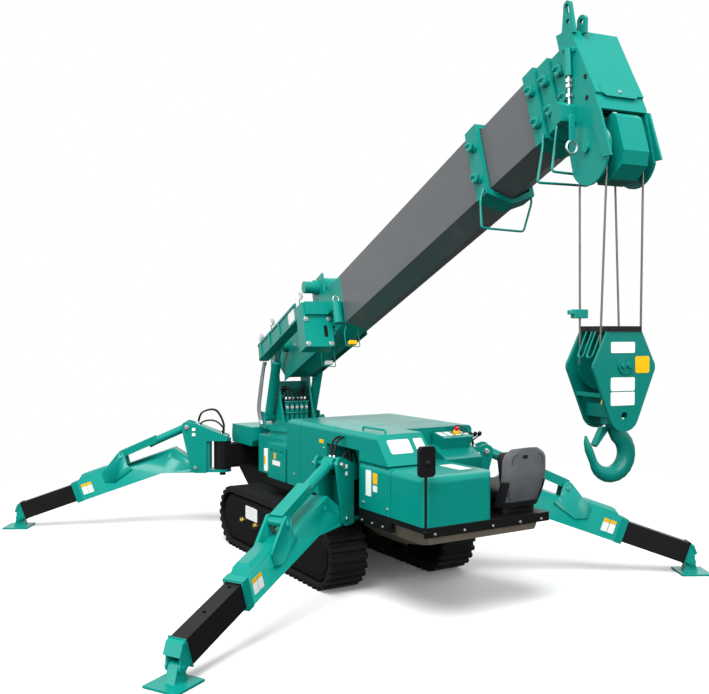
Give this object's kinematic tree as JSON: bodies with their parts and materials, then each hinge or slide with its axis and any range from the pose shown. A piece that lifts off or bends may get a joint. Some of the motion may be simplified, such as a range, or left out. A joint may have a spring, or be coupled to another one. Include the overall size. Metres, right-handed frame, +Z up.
{
  "type": "crawler crane",
  "caption": "Compact rubber-tracked crane with folding outriggers, a slewing tower, a telescopic boom and a hook block on rope falls.",
  "frame": {"origin": "on the floor at the middle of the overall box", "axes": "+X to the travelling front, +Y to the left, +Z up"},
  "size_m": [6.8342, 4.826, 3.6359],
  "materials": {
    "green": "gloss paint",
    "black": "satin black paint",
    "rubber": "matte",
    "boom_grey": "satin grey paint",
    "steel": "bare steel",
    "iron": "cast",
    "belly": "dull primer",
    "seat": "moulded"
  },
  "bodies": {
    "chassis": {"main_frame": "black", "track_left": "rubber", "track_right": "rubber", "track_frames": "black", "track_wheels": "black", "pedestal": "green", "front_box": "green", "body_cover": "green", "deck": "black", "belly_plate": "belly", "engine": "iron", "engine_bay": "green", "console": "green", "seat": "seat", "mirror": "black", "power_box": "green"},
    "engine_hood": {"engine_hood": "green"},
    "tower": {"tower": "green", "valve_block": "black"},
    "lift_barrels": {"lift_barrels": "green"},
    "lift_rods": {"lift_rods": "steel"},
    "boom_base": {"boom_base": "boom_grey", "winch": "green", "side_housing": "green"},
    "boom_second": {"boom_second": "boom_grey"},
    "boom_third": {"boom_third": "boom_grey"},
    "boom_fourth": {"boom_fourth": "boom_grey"},
    "boom_head": {"boom_head": "green", "head_sheaves": "green"},
    "hook_block": {"ropes": "steel", "hook_block": "green"},
    "hook": {"hook": "green"},
    "knuckle_front_left": {"knuckle_front_left": "green"},
    "leg_front_left": {"leg_front_left": "green"},
    "inner_front_left": {"inner_front_left": "black"},
    "foot_front_left": {"foot_front_left": "green"},
    "jack_barrel_front_left": {"jack_barrel_front_left": "green"},
    "jack_rod_front_left": {"jack_rod_front_left": "green"},
    "knuckle_front_right": {"knuckle_front_right": "green"},
    "leg_front_right": {"leg_front_right": "green"},
    "inner_front_right": {"inner_front_right": "black"},
    "foot_front_right": {"foot_front_right": "green"},
    "jack_barrel_front_right": {"jack_barrel_front_right": "green"},
    "jack_rod_front_right": {"jack_rod_front_right": "green"},
    "knuckle_rear_left": {"knuckle_rear_left": "green"},
    "leg_rear_left": {"leg_rear_left": "green"},
    "inner_rear_left": {"inner_rear_left": "black"},
    "foot_rear_left": {"foot_rear_left": "green"},
    "jack_barrel_rear_left": {"jack_barrel_rear_left": "green"},
    "jack_rod_rear_left": {"jack_rod_rear_left": "green"},
    "knuckle_rear_right": {"knuckle_rear_right": "green"},
    "leg_rear_right": {"leg_rear_right": "green"},
    "inner_rear_right": {"inner_rear_right": "black"},
    "foot_rear_right": {"foot_rear_right": "green"},
    "jack_barrel_rear_right": {"jack_barrel_rear_right": "green"},
    "jack_rod_rear_right": {"jack_rod_rear_right": "green"}
  },
  "joints": [
    {"name": "slew", "type": "hinge", "parent": "chassis", "child": "tower", "pos_m": [1.35652, 0, 1.085], "axis": [0, 0, 1], "continuous": true},
    {"name": "luff", "type": "hinge", "parent": "tower", "child": "boom_base", "pos_m": [1.62884, -0.04021, 1.79651], "axis": [0.1461, 0.9893, 0], "range_deg": [-18.7, 59.3]},
    {"name": "lift_barrel_swing", "type": "hinge", "parent": "tower", "child": "lift_barrels", "pos_m": [1.589, -0.03433, 1.165], "axis": [0.1461, 0.9893, 0], "range_deg": [-5.92, 18.35]},
    {"name": "lift_rod_slide", "type": "slide", "parent": "lift_barrels", "child": "lift_rods", "axis": [-0.408, 0.0603, 0.911], "range_m": [-0.0771, 0.24]},
    {"name": "tele_second", "type": "slide", "parent": "boom_base", "child": "boom_second", "axis": [-0.937, 0.1384, 0.3206], "range_m": [-0.45, 2.6]},
    {"name": "tele_third", "type": "slide", "parent": "boom_second", "child": "boom_third", "axis": [-0.937, 0.1384, 0.3206], "range_m": [0, 2.9]},
    {"name": "tele_fourth", "type": "slide", "parent": "boom_third", "child": "boom_fourth", "axis": [-0.937, 0.1384, 0.3206], "range_m": [0, 2.9]},
    {"name": "tele_head", "type": "slide", "parent": "boom_fourth", "child": "boom_head", "axis": [-0.937, 0.1384, 0.3206], "range_m": [0, 2.9]},
    {"name": "hook_hang", "type": "hinge", "parent": "boom_head", "child": "hook_block", "pos_m": [-3.21362, 0.67486, 2.88327], "axis": [0.1461, 0.9893, 0], "range_deg": [-59.4, 18.8]},
    {"name": "hook_swivel", "type": "hinge", "parent": "hook_block", "child": "hook", "pos_m": [-3.21362, 0.67486, 1.63327], "axis": [0, 0, 1], "continuous": true},
    {"name": "hood_lid", "type": "hinge", "parent": "chassis", "child": "engine_hood", "pos_m": [-1.29148, -0.069, 1.013], "axis": [1, 0, 0], "range_deg": [0, 65]},
    {"name": "swing_front_left", "type": "hinge", "parent": "chassis", "child": "knuckle_front_left", "pos_m": [2.20352, 0.436, 0.74], "axis": [0, 0, -1], "range_deg": [-30, 30]},
    {"name": "raise_front_left", "type": "hinge", "parent": "knuckle_front_left", "child": "leg_front_left", "pos_m": [2.33452, 0.6629, 0.616], "axis": [0.866, -0.5, 0], "range_deg": [-6, 30]},
    {"name": "extend_front_left", "type": "slide", "parent": "leg_front_left", "child": "inner_front_left", "axis": [0.4722, 0.8179, -0.3289], "range_m": [-0.46, 0.1]},
    {"name": "foot_tilt_front_left", "type": "hinge", "parent": "inner_front_left", "child": "foot_front_left", "pos_m": [3.23636, 2.22492, 0.1], "axis": [0.866, -0.5, 0], "range_deg": [-30, 30]},
    {"name": "jack_swing_front_left", "type": "hinge", "parent": "knuckle_front_left", "child": "jack_barrel_front_left", "pos_m": [2.37852, 0.73911, 1.03], "axis": [0.866, -0.5, 0], "range_deg": [-6.27, 30.56]},
    {"name": "jack_slide_front_left", "type": "slide", "parent": "jack_barrel_front_left", "child": "jack_rod_front_left", "axis": [0.4573, 0.7922, -0.4041], "range_m": [-0.2232, 0.0446]},
    {"name": "swing_front_right", "type": "hinge", "parent": "chassis", "child": "knuckle_front_right", "pos_m": [2.20352, -0.436, 0.74], "axis": [0, 0, 1], "range_deg": [-30, 30]},
    {"name": "raise_front_right", "type": "hinge", "parent": "knuckle_front_right", "child": "leg_front_right", "pos_m": [2.33452, -0.6629, 0.616], "axis": [-0.866, -0.5, 0], "range_deg": [-6, 30]},
    {"name": "extend_front_right", "type": "slide", "parent": "leg_front_right", "child": "inner_front_right", "axis": [0.4722, -0.8179, -0.3289], "range_m": [-0.46, 0.1]},
    {"name": "foot_tilt_front_right", "type": "hinge", "parent": "inner_front_right", "child": "foot_front_right", "pos_m": [3.23636, -2.22492, 0.1], "axis": [-0.866, -0.5, 0], "range_deg": [-30, 30]},
    {"name": "jack_swing_front_right", "type": "hinge", "parent": "knuckle_front_right", "child": "jack_barrel_front_right", "pos_m": [2.37852, -0.73911, 1.03], "axis": [-0.866, -0.5, 0], "range_deg": [-6.27, 30.56]},
    {"name": "jack_slide_front_right", "type": "slide", "parent": "jack_barrel_front_right", "child": "jack_rod_front_right", "axis": [0.4573, -0.7922, -0.4041], "range_m": [-0.2232, 0.0446]},
    {"name": "swing_rear_left", "type": "hinge", "parent": "chassis", "child": "knuckle_rear_left", "pos_m": [-0.38648, 0.436, 0.74], "axis": [0, 0, 1], "range_deg": [-30, 15]},
    {"name": "raise_rear_left", "type": "hinge", "parent": "knuckle_rear_left", "child": "leg_rear_left", "pos_m": [-0.51748, 0.6629, 0.616], "axis": [0.866, 0.5, 0], "range_deg": [-6, 30]},
    {"name": "extend_rear_left", "type": "slide", "parent": "leg_rear_left", "child": "inner_rear_left", "axis": [-0.4722, 0.8179, -0.3289], "range_m": [-0.46, 0.1]},
    {"name": "foot_tilt_rear_left", "type": "hinge", "parent": "inner_rear_left", "child": "foot_rear_left", "pos_m": [-1.41932, 2.22492, 0.1], "axis": [0.866, 0.5, 0], "range_deg": [-30, 30]},
    {"name": "jack_swing_rear_left", "type": "hinge", "parent": "knuckle_rear_left", "child": "jack_barrel_rear_left", "pos_m": [-0.56148, 0.73911, 1.03], "axis": [0.866, 0.5, 0], "range_deg": [-6.27, 30.56]},
    {"name": "jack_slide_rear_left", "type": "slide", "parent": "jack_barrel_rear_left", "child": "jack_rod_rear_left", "axis": [-0.4573, 0.7922, -0.4041], "range_m": [-0.2232, 0.0446]},
    {"name": "swing_rear_right", "type": "hinge", "parent": "chassis", "child": "knuckle_rear_right", "pos_m": [-0.38648, -0.436, 0.74], "axis": [0, 0, -1], "range_deg": [-30, 15]},
    {"name": "raise_rear_right", "type": "hinge", "parent": "knuckle_rear_right", "child": "leg_rear_right", "pos_m": [-0.51748, -0.6629, 0.616], "axis": [-0.866, 0.5, 0], "range_deg": [-6, 30]},
    {"name": "extend_rear_right", "type": "slide", "parent": "leg_rear_right", "child": "inner_rear_right", "axis": [-0.4722, -0.8179, -0.3289], "range_m": [-0.46, 0.1]},
    {"name": "foot_tilt_rear_right", "type": "hinge", "parent": "inner_rear_right", "child": "foot_rear_right", "pos_m": [-1.41932, -2.22492, 0.1], "axis": [-0.866, 0.5, 0], "range_deg": [-30, 30]},
    {"name": "jack_swing_rear_right", "type": "hinge", "parent": "knuckle_rear_right", "child": "jack_barrel_rear_right", "pos_m": [-0.56148, -0.73911, 1.03], "axis": [-0.866, 0.5, 0], "range_deg": [-6.27, 30.56]},
    {"name": "jack_slide_rear_right", "type": "slide", "parent": "jack_barrel_rear_right", "child": "jack_rod_rear_right", "axis": [-0.4573, -0.7922, -0.4041], "range_m": [-0.2232, 0.0446]}
  ],
  "couplings": [
    {"joint": "lift_barrel_swing", "follows": "luff", "ratio": 0.306},
    {"joint": "lift_rod_slide", "follows": "luff", "m_per_rad": 0.23},
    {"joint": "tele_fourth", "follows": "tele_third", "ratio": 1},
    {"joint": "tele_head", "follows": "tele_third", "ratio": 1},
    {"joint": "hook_hang", "follows": "luff", "ratio": -1},
    {"joint": "jack_swing_front_left", "follows": "raise_front_left", "ratio": 1.012},
    {"joint": "jack_slide_front_left", "follows": "raise_front_left", "m_per_rad": -0.418},
    {"joint": "jack_swing_front_right", "follows": "raise_front_right", "ratio": 1.012},
    {"joint": "jack_slide_front_right", "follows": "raise_front_right", "m_per_rad": -0.418},
    {"joint": "jack_swing_rear_left", "follows": "raise_rear_left", "ratio": 1.012},
    {"joint": "jack_slide_rear_left", "follows": "raise_rear_left", "m_per_rad": -0.418},
    {"joint": "jack_swing_rear_right", "follows": "raise_rear_right", "ratio": 1.012},
    {"joint": "jack_slide_rear_right", "follows": "raise_rear_right", "m_per_rad": -0.418}
  ]
}
